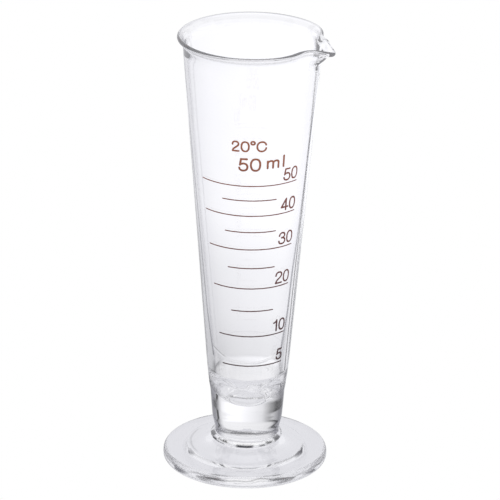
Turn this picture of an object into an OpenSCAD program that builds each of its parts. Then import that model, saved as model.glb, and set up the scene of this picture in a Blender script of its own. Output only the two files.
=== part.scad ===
// Footed conical measure, 50 ml, with a pouring lip.
// A tapered glass cup with a solid base is fused through a small glass button
// to a pressed round foot. The graduation lines and figures are raised, fired enamel.
// Units are millimetres, +Z is up, and the origin is on the table, in the middle of the foot.

/* [Cup] */
// Outer radius of the cup's cone, carried down to the table
cone_r0 = 10.74; // [10.4:0.01:11]
// Growth of the outer radius for each millimetre of height
cone_slope = 0.0809; // [0.077:0.0001:0.085]
// Height of the rim bead's centre
rim_z = 146.6; // [144:0.1:149]
// Radius of the circle that the rim bead's centre follows
rim_r = 23.45; // [23.25:0.05:23.8]
// Radius of the fire-polished bead itself
bead_r = 0.75; // [0.65:0.05:0.85]
// Glass thickness near the rim
wall_top = 1.1; // [0.9:0.05:1.4]
// Glass thickness that the wall would reach at the bottom of the cavity
wall_base = 2.6; // [2.3:0.05:3]
// How fast the wall thickens towards the bottom
wall_power = 1.35; // [1:0.05:2]
// Height of the lowest point inside the cup
cavity_z = 20.4; // [19.5:0.1:22]
// Radius of the small flat in the middle of the bottom
flat_r = 1.5; // [1:0.1:2.5]
// Height at which the inside starts to round over into the bottom
bowl_z = 32.5; // [31:0.5:35]

// Distance from the foot's centre to the cup's axis, along X: the two were fused by hand
cup_shift = 0.55; // [0:0.05:1]

/* [Pouring lip] */
// Direction of the lip, counted from +X
lip_az = -21; // [-45:1:45]
// Inner radius of the lip's channel at its mouth
lip_r = 4.35; // [3.9:0.05:4.8]
// Distance from the cup's axis to the middle of the lip's mouth
lip_reach = 22.6; // [22:0.1:22.8]
// Height at which the lip starts to leave the cup's wall
lip_z = 139.0; // [138:0.1:140]
// Glass thickness of the lip
lip_wall = 1.15; // [1:0.05:1.3]

/* [Base and foot] */
// Radius of the solid base where it meets the button
stem_r = 10.5; // [10:0.1:10.8]
// Height of the joint between the cup and the button
stem_z = 9.6; // [9.2:0.1:10]
// Largest radius of the fused glass button
button_r = 11.85; // [11.6:0.05:12.3]
// Radius of the foot
foot_r = 27.15; // [26:0.05:29]
// Thickness of the foot near its edge
foot_t = 3.8; // [3.4:0.1:4.2]
// Radius of the raised middle of the foot
step_r = 19.5; // [18:0.25:21]
// Height of the raised middle of the foot at its rim
step_z = 4.9; // [4.6:0.05:5.2]
// Height to which the foot swells in its middle, where the button sits
boss_z = 6.8; // [6.4:0.1:7]
// Radius of the shallow hollow in the foot's underside
dish_r = 17.5; // [16.5:0.1:19]
// Depth of that hollow in the middle
dish_z = 2.75; // [2:0.05:3]

/* [Graduation] */
// Volume between two neighbouring lines, in millilitres
step_ml = 5; // [5:5:5]
// Width of a graduation line
line_w = 0.32; // [0.25:0.01:0.5]
// How far the enamel stands proud of the glass
enamel_t = 0.1; // [0.06:0.01:0.2]
// Azimuth of the middle of the print at its top line
print_az = -91.8; // [-100:0.1:-80]
// How much the print leans round the cup, in degrees for each millimetre
print_lean = 0.14; // [0:0.01:0.2]
// Height of the scale figures
figure_h = 4.3; // [4:0.1:5]
// Gap between a line and the figure above it
figure_gap = 0.95; // [0.7:0.05:1.2]

/* [Hidden] */

glass = [0.86, 0.89, 0.92, 0.45];
enamel = [0.74, 0.30, 0.20];

// ---- profiles of the cup ----
lean = atan(cone_slope);                       // half angle of the outer cone
function cone(z) = cone_r0 + cone_slope * z;   // outer surface
wall_ref = 118;                                // above this height the wall is even
function wall(z) = wall_top + (wall_base - wall_top)
    * pow(max(0, min(1, (wall_ref - z) / (wall_ref - cavity_z))), wall_power);
function bowl(z) = z >= bowl_z ? 1 : sqrt(max(0, 1 - pow((bowl_z - z) / (bowl_z - cavity_z), 1.5)));
function bore(z) = flat_r + (cone(z) - wall(z) - flat_r) * bowl(z);   // inner surface

// Heights of the inner profile's points: close together where the bottom rounds over.
bowl_n = 12;
bowl_zs = [for (i = [0:bowl_n]) cavity_z + (bowl_z - cavity_z) * pow(i / bowl_n, 2.6)];
wall_zs = [bowl_z + 8, 55, 68, 82, 96, wall_ref, 130, rim_z - 5.5];

// ---- heights of the lines: the cavity's volume, solved for each mark ----
function sum_to(v, i) = i < 0 ? 0 : v[i] + sum_to(v, i - 1);
SLICES = 60;
function volume_to(z) = let (h = (z - cavity_z) / SLICES)
    sum_to([for (i = [0:SLICES - 1]) PI * pow(bore(cavity_z + (i + 0.5) * h), 2) * h], SLICES - 1);
function level(v, lo, hi, n) = let (m = (lo + hi) / 2)
    n == 0 ? m : volume_to(m) < v ? level(v, m, hi, n - 1) : level(v, lo, m, n - 1);
MARKS = [for (i = [1:10]) level(i * step_ml * 1000, cavity_z + 2, 125, 18)];
function mark_z(ml) = MARKS[ml / 5 - 1];
function mid_az(z) = print_az + print_lean * (mark_z(50) - z);
// Half length of a line along the glass: the longer lines shorten down the cup.
function half_arc(ml) = ml % 10 == 0 || ml == 5
    ? 17.4 - (mark_z(50) - mark_z(ml)) * 0.104
    : 9.4 - (mark_z(50) - mark_z(ml)) * 0.051;
function deg(arc, z) = arc / cone(z) * 180 / PI;

// ---- small tools ----
function arc(cx, cy, rx, ry, a0, a1, n) =
    [for (i = [0:n]) let (a = a0 + (a1 - a0) * i / n) [cx + rx * cos(a), cy + ry * sin(a)]];
function unit(v) = v / max(norm(v), 1e-9);
// Direction along a path at point i, as the mean of the two pieces that meet there
function along(p, i) = let (n = len(p) - 1)
    i == 0 ? unit(p[1] - p[0]) : i == n ? unit(p[n] - p[n - 1])
    : unit(unit(p[i] - p[i - 1]) + unit(p[i + 1] - p[i]));
function mitre(p, i) = let (n = len(p) - 1)
    i == 0 || i == n ? 1
    : 1 / max(0.5, along(p, i) * unit(p[i + 1] - p[i]));
function side(p, w) = [for (i = [0:len(p) - 1])
    let (t = along(p, i)) p[i] + [-t[1], t[0]] * w * mitre(p, i)];
function backwards(p) = [for (i = [len(p) - 1:-1:0]) p[i]];
// A brush stroke of even width along a path
module stroke(p, w) polygon(concat(side(p, w / 2), backwards(side(p, -w / 2))));
module ring(cx, cy, rx, ry, w, n = 24) difference() {
    polygon(arc(cx, cy, rx + w / 2, ry + w / 2, 0, 360 * (1 - 1 / n), n - 1));
    polygon(arc(cx, cy, rx - w / 2, ry - w / 2, 0, 360 * (1 - 1 / n), n - 1));
}

// ---- plain figures and letters, cap height 1, on a baseline at 0 ----
s = 0.1;       // stroke width
g = s / 2;
module glyph(c) {
    if (c == "0") ring(0.31, 0.5, 0.26, 0.5 - g, s);
    if (c == "1") { translate([0.26, 0]) square([s, 1]);
        stroke([[0.08, 0.76], [0.17, 0.79], [0.25, 0.88], [0.31, 0.985]], s * 0.8); }
    if (c == "2") stroke(concat(arc(0.32, 0.68, 0.235, 0.27, 175, -38, 11),
        [[0.33, 0.33], [0.15, 0.17], [0.075, g], [0.6, g]]), s);
    if (c == "3") { stroke(arc(0.30, 0.725, 0.205, 0.225, 165, -90, 9), s);
        stroke(arc(0.30, 0.275, 0.24, 0.225, 90, -165, 10), s); }
    if (c == "4") { stroke([[0.62, 0.28], [0.075, 0.28], [0.44, 0.93]], s);
        translate([0.41, 0]) square([s, 1]); }
    if (c == "5") { stroke([[0.55, 1 - g], [0.155, 1 - g], [0.1, 0.47]], s);
        stroke(arc(0.30, 0.325, 0.25, 0.275, 138, -152, 11), s); }
    if (c == "C") stroke(arc(0.42, 0.5, 0.36, 0.5 - g, 48, 312, 16), s);
    if (c == "o") ring(0.15, 0.86, 0.1, 0.1, s * 0.8, 14);
    if (c == "m") { for (x = [0, 0.36, 0.72]) translate([x + 0.02, 0]) square([s, x == 0 ? 0.72 : 0.5]);
        for (x = [0, 0.36]) stroke(concat([[x + 0.07, 0.42]],
            arc(x + 0.25, 0.5, 0.18, 0.17, 165, 0, 7), [[x + 0.43, 0.4]]), s); }
    if (c == "l") translate([0.02, 0]) square([s, 1]);
}
// The advance of each character, as a share of the cap height
function advance(c) = c == "1" ? 0.72 : c == "C" ? 0.9 : c == "o" ? 0.34
    : c == "m" ? 1.02 : c == "l" ? 0.2 : c == " " ? 0.3 : 0.74;
function pen(t, i) = i == 0 ? 0 : pen(t, i - 1) + advance(t[i - 1]);

// A word in raised enamel that follows the cone: its left end at azimuth az, its foot at z
module word(t, az, z, h) intersection() {
    for (i = [0:len(t) - 1]) let (a = az + deg((pen(t, i) + advance(t[i]) / 2) * h, z + h / 2))
        if (t[i] != " ") rotate([0, 0, a]) translate([cone(z), 0, z]) rotate([0, lean, 0])
            rotate([90, 0, 90]) translate([-advance(t[i]) / 2 * h, 0, -1.2])
                linear_extrude(2.4) scale(h) glyph(t[i]);
    enamel_coat(z - 1, z + h + 1);
}
// The thin conical layer in which every enamel piece lies
module enamel_coat(z0, z1) rotate_extrude($fn = 180) polygon([
    [cone(z0), z0], [cone(z0) + enamel_t, z0], [cone(z1) + enamel_t, z1], [cone(z1), z1]]);
module scale_line(ml) let (z = mark_z(ml), a = deg(half_arc(ml), z), w = line_w / 2)
    color(enamel) rotate([0, 0, mid_az(z) - a]) rotate_extrude(angle = 2 * a, $fn = 180) polygon([
        [cone(z - w), z - w], [cone(z - w) + enamel_t, z - w],
        [cone(z + w) + enamel_t, z + w], [cone(z + w), z + w]]);
// A figure ends flush with the right end of its own line
module scale_figure(t, ml, gap = figure_gap, h = figure_h) let (z = mark_z(ml),
    width = (pen(t, len(t) - 1) + advance(t[len(t) - 1]) - 0.12) * h)
    color(enamel) word(t, mid_az(z) + deg(half_arc(ml) - width, z + h / 2), z + gap, h);

// ---- the glass pieces ----
module glass_cup() color(glass) difference() {
    union() {
        // Outer shape: solid base, cone, and the neck that flares into the bead
        rotate_extrude($fn = 180) polygon(concat(
            [[0, stem_z], [stem_r, stem_z], [stem_r + 0.15, stem_z + 1.3],
             [stem_r + 0.52, stem_z + 3], [stem_r + 0.97, stem_z + 5.1],
             [stem_r + 1.3, stem_z + 8.4], [stem_r + 1.55, stem_z + 11.6]],
            [[cone(24.5) - 0.4, 24.5], [cone(26.7) - 0.23, 26.7], [cone(30) - 0.1, 30],
             [cone(35), 35], [cone(rim_z - 5.5), rim_z - 5.5],
             [cone(rim_z) - 0.1, rim_z - 2.6], [cone(rim_z) + 0.3, rim_z - 1.4]],
            arc(rim_r, rim_z, bead_r, bead_r, -50, 180, 12),
            [[rim_r - 1.15, rim_z - 1.1], [bore(rim_z) + 0.2, rim_z - 2.6],
             [0, rim_z - 2.6]]));
        // Outside of the pouring lip
        intersection() {
            lip_cone(lip_wall);
            rotate([0, 0, lip_az]) translate([10, -12, lip_z - 2]) cube([30, 24, 12]);
        }
    }
    // Inside of the cup
    rotate_extrude($fn = 180) polygon(concat([[0, cavity_z]],
        [for (z = bowl_zs) [bore(z), z]], [for (z = wall_zs) [bore(z), z]],
        [[bore(rim_z) + 0.2, rim_z - 2.6], [rim_r - 1.15, rim_z - 1.1],
         [rim_r - bead_r - 0.05, rim_z], [rim_r - bead_r - 0.05, rim_z + 4], [0, rim_z + 4]]));
    // Channel of the pouring lip
    lip_cone(0, 3);
}
// The lip is a short tilted cone that starts inside the wall and opens at the rim
lip_tilt = atan((lip_reach - 19.4) / (rim_z - lip_z));
module lip_cone(extra, over = 0) let (h = (rim_z + 0.55 - lip_z) / cos(lip_tilt))
    rotate([0, 0, lip_az]) translate([19.4, 0, lip_z]) rotate([0, lip_tilt, 0])
        cylinder(h = h + over, r1 = 1.2 + extra, r2 = 1.2 + extra + (lip_r - 1.2) * (h + over) / h, $fn = 96);

// The button of glass that was squeezed out where the two hot pieces met
module fused_button() color(glass) rotate_extrude($fn = 180) polygon(concat(
    [[0, boss_z], [button_r - 0.95, boss_z]],
    arc(button_r - 0.95, boss_z + 0.98, 0.95, 0.9, -70, 58, 9),
    [[stem_r + 0.08, stem_z - 0.35], [stem_r, stem_z], [0, stem_z]]));

module foot_disc() color(glass) rotate_extrude($fn = 180) polygon(concat(
    [for (p = [[0, 1], [0.171, 0.982], [0.286, 0.916], [0.371, 0.822], [0.457, 0.676], [0.571, 0.462],
        [0.686, 0.262], [0.8, 0.102], [0.914, 0.022], [1, 0]]) [dish_r * p[0], dish_z * p[1]]],
    [[foot_r - 1.3, 0]],
    arc(foot_r - 1.3, foot_t * 0.42, 1.3, foot_t * 0.42, -60, 0, 5),
    arc(foot_r - 1.6, foot_t * 0.52, 1.6, foot_t * 0.44, 0, 80, 6),
    [[step_r + 2.1, foot_t + 0.1], [step_r + 1.1, foot_t + 0.02], [step_r + 0.4, foot_t + 0.3],
     [step_r, step_z - 0.28], [step_r - 0.55, step_z - 0.06], [step_r - 1.6, step_z + 0.02],
     [step_r - 3.4, step_z + 0.35], [step_r - 5.6, step_z + 0.95], [button_r + 0.4, boss_z - 0.3],
     [button_r - 0.95, boss_z], [0, boss_z]]));

// ---- the enamel pieces ----
module temperature_mark() color(enamel) word("20oC", print_az - 15.4, mark_z(50) + 11.95, 3.7);
module capacity_mark() color(enamel) word("50 ml", print_az - 9.3, mark_z(50) + 5.3, 4.45);

// The cup and its print share one axis, a little beside the foot's centre
module on_axis() translate([cup_shift, 0, 0]) children();

on_axis() glass_cup();
translate([cup_shift / 2, 0, 0]) fused_button();
foot_disc();
on_axis() scale_line(50);  // line_50_ml
on_axis() scale_line(45);  // line_45_ml
on_axis() scale_line(40);  // line_40_ml
on_axis() scale_line(35);  // line_35_ml
on_axis() scale_line(30);  // line_30_ml
on_axis() scale_line(25);  // line_25_ml
on_axis() scale_line(20);  // line_20_ml
on_axis() scale_line(15);  // line_15_ml
on_axis() scale_line(10);  // line_10_ml
on_axis() scale_line(5);  // line_05_ml
on_axis() scale_figure("50", 50);  // figure_50
on_axis() scale_figure("40", 40);  // figure_40
on_axis() scale_figure("30", 30);  // figure_30
on_axis() scale_figure("20", 20);  // figure_20
on_axis() scale_figure("10", 10);  // figure_10
on_axis() scale_figure("5", 5, 0.9, 4);  // figure_5
on_axis() temperature_mark();
on_axis() capacity_mark();
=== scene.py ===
import math
import bpy
import numpy as np
from mathutils import Matrix, Vector


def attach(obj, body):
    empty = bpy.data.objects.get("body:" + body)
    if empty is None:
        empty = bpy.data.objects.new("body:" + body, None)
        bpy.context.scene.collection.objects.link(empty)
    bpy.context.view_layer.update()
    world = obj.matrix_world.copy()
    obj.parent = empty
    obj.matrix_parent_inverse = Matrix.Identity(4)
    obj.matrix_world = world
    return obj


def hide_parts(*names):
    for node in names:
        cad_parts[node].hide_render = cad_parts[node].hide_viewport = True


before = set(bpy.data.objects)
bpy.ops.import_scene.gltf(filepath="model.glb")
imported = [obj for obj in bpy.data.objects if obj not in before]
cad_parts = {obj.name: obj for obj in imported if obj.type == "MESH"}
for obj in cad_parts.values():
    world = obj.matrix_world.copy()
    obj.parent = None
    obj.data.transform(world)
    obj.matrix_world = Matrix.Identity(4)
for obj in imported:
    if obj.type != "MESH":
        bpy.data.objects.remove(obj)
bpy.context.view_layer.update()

MM = 0.001
scene = bpy.context.scene

# ------------------------------------------------------------------ numbers
# Lengths are in millimetres, as in part.scad. The cup's own axis stands at
# x = CUP_X, beside the foot's centre, and azimuths are counted about it.
CUP_X = 0.55
RIM_Z, RIM_R, BEAD_R = 146.6, 23.45, 0.75
WALL_TOP, WALL_BASE, WALL_POWER, WALL_REF = 1.1, 2.6, 1.35, 118.0
CAVITY_Z, FLAT_R, BOWL_Z = 20.4, 1.5, 32.5
STEM_R, STEM_Z, BOSS_R, BOSS_Z, STEP_Z = 10.5, 9.6, 10.65, 6.8, 4.9
LIP_AZ = -21.0
FOOT_R, STEP_R = 27.15, 19.5
PRINT_AZ, PRINT_LEAN = -91.8, 0.14
LEAN = math.atan(0.0809)


def cone(z):
    return 10.74 + 0.0809 * z


def wall(z):
    t = np.clip((WALL_REF - z) / (WALL_REF - CAVITY_Z), 0, 1)
    return WALL_TOP + (WALL_BASE - WALL_TOP) * t ** WALL_POWER


def bowl(z):
    t = np.clip((BOWL_Z - z) / (BOWL_Z - CAVITY_Z), 0, 1)
    return np.sqrt(np.clip(1 - t ** 1.5, 0, 1))


def bore(z):
    return FLAT_R + (cone(z) - wall(z) - FLAT_R) * bowl(z)


def smooth(x):
    x = np.clip(x, 0, 1)
    return x * x * (3 - 2 * x)


def hermite(xs, ys, x, ends=(None, None)):
    """A monotone cubic through the points, with free or given slopes at its ends."""
    xs, ys, x = np.asarray(xs, float), np.asarray(ys, float), np.asarray(x, float)
    h, d = np.diff(xs), np.diff(ys) / np.diff(xs)
    m = np.zeros(len(xs))
    for i in range(1, len(xs) - 1):
        if d[i - 1] * d[i] > 0:
            a, b = 2 * h[i] + h[i - 1], h[i] + 2 * h[i - 1]
            m[i] = (a + b) / (a / d[i - 1] + b / d[i])
    m[0] = d[0] if ends[0] is None else ends[0]
    m[-1] = d[-1] if ends[1] is None else ends[1]
    i = np.clip(np.searchsorted(xs, x) - 1, 0, len(h) - 1)
    t = (x - xs[i]) / h[i]
    return ((1 + 2 * t) * (1 - t) ** 2 * ys[i] + t * (1 - t) ** 2 * h[i] * m[i]
            + t * t * (3 - 2 * t) * ys[i + 1] + t * t * (t - 1) * h[i] * m[i + 1])


def waves(az, z, seed, parts, zscale):
    """A smooth, seeded ripple of unit size over azimuth (radians) and height."""
    rng = np.random.default_rng(seed)
    out = np.zeros(np.broadcast(az, z).shape)
    total = 0.0
    for k in parts:
        a = rng.uniform(0.6, 1.0) / (1 + 0.15 * k)
        p, q = rng.uniform(0, 2 * np.pi, 2)
        f = rng.uniform(0.4, 1.0) * 2 * np.pi / zscale
        out = out + a * np.sin(k * az + p + 0.6 * np.sin(f * z + q)) * np.cos(f * 0.7 * z + q)
        total += a
    return out / total


# ------------------------------------------------------------------ meshes
def make_object(name, verts, faces, mats, face_mats=None, sharp_rings=(), location=(0, 0, 0)):
    me = bpy.data.meshes.new(name)
    me.from_pydata([tuple(v) for v in np.asarray(verts) * MM], [], faces)
    for m in mats:
        me.materials.append(m)
    if face_mats is not None:
        me.polygons.foreach_set("material_index", np.asarray(face_mats, np.int32))
    me.polygons.foreach_set("use_smooth", np.ones(len(me.polygons), bool))
    if sharp_rings:
        ring_of = np.full(len(me.vertices), -1)
        for k, ring in enumerate(sharp_rings):
            ring_of[list(ring)] = k
        ev = np.zeros(len(me.edges) * 2, np.int32)
        me.edges.foreach_get("vertices", ev)
        ev = ev.reshape(-1, 2)
        sharp = (ring_of[ev[:, 0]] >= 0) & (ring_of[ev[:, 0]] == ring_of[ev[:, 1]])
        att = me.attributes.get("sharp_edge") or me.attributes.new("sharp_edge", "BOOLEAN", "EDGE")
        att.data.foreach_set("value", sharp)
    me.validate()
    me.update()
    ob = bpy.data.objects.new(name, me)
    ob.location = Vector(location) * MM
    scene.collection.objects.link(ob)
    return ob


def revolve(name, rows, mats, row_mats, sharp_rows=()):
    """A closed surface from rings of points. rows[0] and rows[-1] are the poles, given as
    single points; the others are arrays of one ring each, all with as many points."""
    n = len(rows[1])
    verts = [np.asarray(rows[0], float).reshape(1, 3)]
    verts += [np.asarray(r, float) for r in rows[1:-1]]
    verts.append(np.asarray(rows[-1], float).reshape(1, 3))
    start = [0]
    for v in verts:
        start.append(start[-1] + len(v))
    faces, fm = [], []
    for j in range(n):
        k = (j + 1) % n
        faces.append((0, start[1] + k, start[1] + j))
        fm.append(row_mats[0])
    for i in range(1, len(rows) - 2):
        a, b = start[i], start[i + 1]
        for j in range(n):
            k = (j + 1) % n
            faces.append((a + j, a + k, b + k, b + j))
            fm.append(row_mats[i])
    last, pole = start[len(rows) - 2], start[len(rows) - 1]
    for j in range(n):
        k = (j + 1) % n
        faces.append((last + j, last + k, pole))
        fm.append(row_mats[-1])
    rings = [range(start[i], start[i] + n) for i in sharp_rows]
    return make_object(name, np.concatenate(verts), faces, mats, fm, rings)


def azimuths(base=1.25, fine=0.6, centre=LIP_AZ, half=45):
    """Azimuths once round, closer together about the pouring lip."""
    a = np.arange(-half, half, fine)
    b = np.linspace(half, 360 - half, int(round((360 - 2 * half) / base)) + 1)[:-1]
    return np.radians(np.concatenate([a, b]) + centre)


# ------------------------------------------------------------------ the cup
AZ = azimuths()


def ripple_out(az, z):
    """How far the cup's outer surface stands off its true shape: blown glass is never quite even."""
    return (0.020 * waves(az, z, 11, (1, 2, 3, 5), 60.0)
            + 0.035 * smooth((30 - z) / 8) * waves(az, z, 12, (2, 3, 4, 7), 14.0))


def ripple_in(az, z):
    """The inside: an even wall, a faint drawn line above the rounding, and shallow dimples below it."""
    up = 0.05 * waves(az, z, 21, (1, 2, 3, 4, 6), 45.0)
    low = 0.06 * smooth((34 - z) / 7) * waves(az, z, 22, (3, 5, 7), 9.0)
    dimples = 0.26 * smooth((31 - z) / 3) * waves(az, z, 24, (4, 6, 9), 6.0)
    off = (np.degrees(az) + 91 + 180) % 360 - 180
    line_z = 38.4 + 8 * (1 - np.cos(np.radians(np.clip(off, -75, 75))))
    line = -0.055 * smooth((66 - np.abs(off)) / 24) * np.exp(-((z - line_z) / 0.36) ** 2)
    return up + low + dimples + line


def stem_outer(z):
    return hermite([9.6, 11.0, 12.6, 14.7, 18.0, 21.2, 24.5, 26.7, 29.9, 35.0],
                   [10.5, 10.62, 11.0, 11.45, 11.78, 12.04, 12.30, 12.66, 13.05, cone(35.0)],
                   z, ends=(0.0, 0.0809))


S120 = np.array([cone(120.0) - 0.55, 120.0])
T0 = np.array([math.sin(LEAN), math.cos(LEAN)])
N0 = np.array([math.cos(LEAN), -math.sin(LEAN)])
S_END = float((np.array([RIM_R, RIM_Z]) - S120) @ T0)


def lip_tables():
    """Along the wall's middle line, how far the lip's axis is pulled out and down."""
    s = np.linspace(0, S_END, 900)
    q = smooth((s - (138.5 - 120) / math.cos(LEAN)) / 3.2)
    ang = LEAN + (math.radians(48.1) - LEAN) * q
    k = 1 + 0.085 * q
    f = np.stack([np.sin(ang) * k - T0[0], np.cos(ang) * k - T0[1]], 1)
    d = np.zeros_like(f)
    d[1:] = np.cumsum((f[1:] + f[:-1]) / 2 * np.diff(s)[:, None], 0)
    return s, d


LIP_S, LIP_D = lip_tables()
LIP_PHI = [0, 2, 4.5, 8, 12.5, 17, 21, 27, 33, 40, 55, 70, 180]
LIP_OUT = [3.9, 3.72, 2.95, 1.7, 0.5, -0.65, -1.3, -1.45, -1.05, -0.55, -0.06, 0, 0]


def natural_spline(xs, ys, x):
    """A natural cubic spline, smooth to the second derivative."""
    xs, ys = np.asarray(xs, float), np.asarray(ys, float)
    n, h = len(xs), np.diff(xs)
    A, r = np.zeros((n, n)), np.zeros(n)
    A[0, 0], A[0, 1] = 2 * h[0], h[0]      # flat at the lip's axis
    r[0] = 6 * (ys[1] - ys[0]) / h[0]
    A[-1, -1] = 1
    for i in range(1, n - 1):
        A[i, i - 1], A[i, i], A[i, i + 1] = h[i - 1], 2 * (h[i - 1] + h[i]), h[i]
        r[i] = 6 * ((ys[i + 1] - ys[i]) / h[i] - (ys[i] - ys[i - 1]) / h[i - 1])
    m = np.linalg.solve(A, r)
    i = np.clip(np.searchsorted(xs, x) - 1, 0, n - 2)
    a, b = xs[i + 1] - x, x - xs[i]
    return ((m[i] * a ** 3 + m[i + 1] * b ** 3) / (6 * h[i])
            + (ys[i] / h[i] - m[i] * h[i] / 6) * a + (ys[i + 1] / h[i] - m[i + 1] * h[i] / 6) * b)


def lip_shift(s, phi):
    """Displacement (radial, vertical) of the wall's middle line at arc length s and angle phi from the lip."""
    D = natural_spline(LIP_PHI, LIP_OUT, np.abs(phi))
    out = (D + np.sqrt(D * D + 0.16)) / 2 * smooth((60 - np.abs(phi)) / 40)
    pinch = D - out
    share = out / 3.91
    sc = np.clip(s, 0, S_END)
    dr, dz = np.interp(sc, LIP_S, LIP_D[:, 0]), np.interp(sc, LIP_S, LIP_D[:, 1])
    end = LIP_D[-1, 0]
    w = smooth((sc - (S_END - 12.5)) / 12.5) ** 1.15
    return dr / end * share * (end) + pinch * w, dz * share ** 1.25


def shaped(R, Z, phi):
    """Moves profile points (R, Z) above z = 120 with the lip's forming, at angle phi (degrees)."""
    P = np.stack([R, Z], 1) - S120
    s, o = P @ T0, P @ N0
    e = 0.02
    d0, d1 = np.stack(lip_shift(s - e, phi), 1), np.stack(lip_shift(s + e, phi), 1)
    d = (d0 + d1) / 2
    tan = T0 + (d1 - d0) / (2 * e)
    past = s > S_END - e
    if past.any():
        a = np.array([float(v) for v in lip_shift(np.array([S_END - 2 * e]), phi)])
        b = np.array([float(v) for v in lip_shift(np.array([S_END]), phi)])
        g = (b - a) / (2 * e)
        d[past] = b + g * (s[past] - S_END)[:, None]
        tan[past] = T0 + g
    tan /= np.linalg.norm(tan, axis=1)[:, None]
    nor = np.stack([tan[:, 1], -tan[:, 0]], 1)
    share = float(np.clip(lip_shift(np.array([S_END]), phi)[0][0] / 3.9, 0, 1))
    o2 = o - 0.9 * share * smooth((s - (S_END - 4.0)) / 4.0)
    return S120 + s[:, None] * T0 + d + o2[:, None] * nor


def cup_profile():
    """(R, z, part) from the joint with the button, up the outside, over the bead and down the inside."""
    pts = []
    zs = np.concatenate([9.6 + 5.0 * np.linspace(0, 1, 22) ** 1.4, np.linspace(14.6, 24.8, 15)[1:],
                         np.linspace(24.8, 27.6, 19)[1:], np.linspace(27.6, 30.8, 17)[1:], np.linspace(30.8, 35, 7)[1:]])
    pts += [(float(r), float(z), "out") for r, z in zip(stem_outer(zs), zs)]
    pts += [(cone(z), z, "out") for z in np.linspace(35, 141.1, 72)[1:]]
    low, high = math.radians(-35), math.radians(150)
    zn = np.array([141.1, 143.2, 144.3, 145.2, 145.8, RIM_Z + BEAD_R * math.sin(low)])
    rn = [cone(141.1), cone(143.2) + 0.01, cone(144.3) + 0.10, cone(145.2) + 0.52, cone(145.8) + 1.16,
          RIM_R + BEAD_R * math.cos(low)]
    zz = np.linspace(zn[0], zn[-1], 19)[1:-1]
    pts += [(float(r), float(z), "rim", 0.10 * float(smooth((z - 143.5) / 2.0)))
            for r, z in zip(hermite(zn, rn, zz, ends=(0.0809, 0.70)), zz)]
    # painted shade on the bead: how strongly its edge-on darkening is laid on, most on its outer face and just inside
    # its top
    for a in np.linspace(low, high, 32):
        g = math.degrees(a)
        dark = 0.08 + 0.52 * math.exp(-((g - 116) / 25) ** 2) + 0.42 * math.exp(-(g / 32) ** 2)
        pts.append((RIM_R + BEAD_R * math.cos(a), RIM_Z + BEAD_R * math.sin(a), "rim", min(1.0, dark)))
    zi = np.array([RIM_Z + BEAD_R * math.sin(high), 146.2, 145.3, 144.2, 143.0, 141.1])
    ri = np.array([RIM_R + BEAD_R * math.cos(high), 22.42, 22.04, bore(144.2) + 0.30, bore(143.0) + 0.11, bore(141.1)])
    zz = np.linspace(zi[0], 141.1, 20)[1:]
    pts += [(float(r), float(z), "rim", 0.14 * float(smooth((z - 146.3) / 0.8))) for r, z in
            zip(hermite(zi[::-1], ri[::-1], zz, ends=(0.0809, 0.577)), zz)]
    pts += [(float(bore(z)), z, "in") for z in np.linspace(141.1, 50, 54)[1:]]
    pts += [(float(bore(z)), z, "in") for z in np.linspace(50, 38, 66)[1:]]
    # the rounded bottom of the cavity, stepped evenly along its curve
    t = np.linspace(0, 1, 4000)
    zb = 38 - (38 - CAVITY_Z) * (1 - (1 - t) ** 3)
    rb = bore(zb)
    k = np.linspace(1, 0, 200)[1:]
    rb, zb = np.concatenate([rb, FLAT_R * k]), np.concatenate([zb, CAVITY_Z - 0.06 * (1 - k * k) ** 2])
    arc = np.concatenate([[0], np.cumsum(np.hypot(np.diff(rb), np.diff(zb)))])
    for a in np.linspace(0, arc[-1], 76)[1:-1]:
        pts.append((float(np.interp(a, arc, rb)), float(np.interp(a, arc, zb)), "in"))
    return pts


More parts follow.
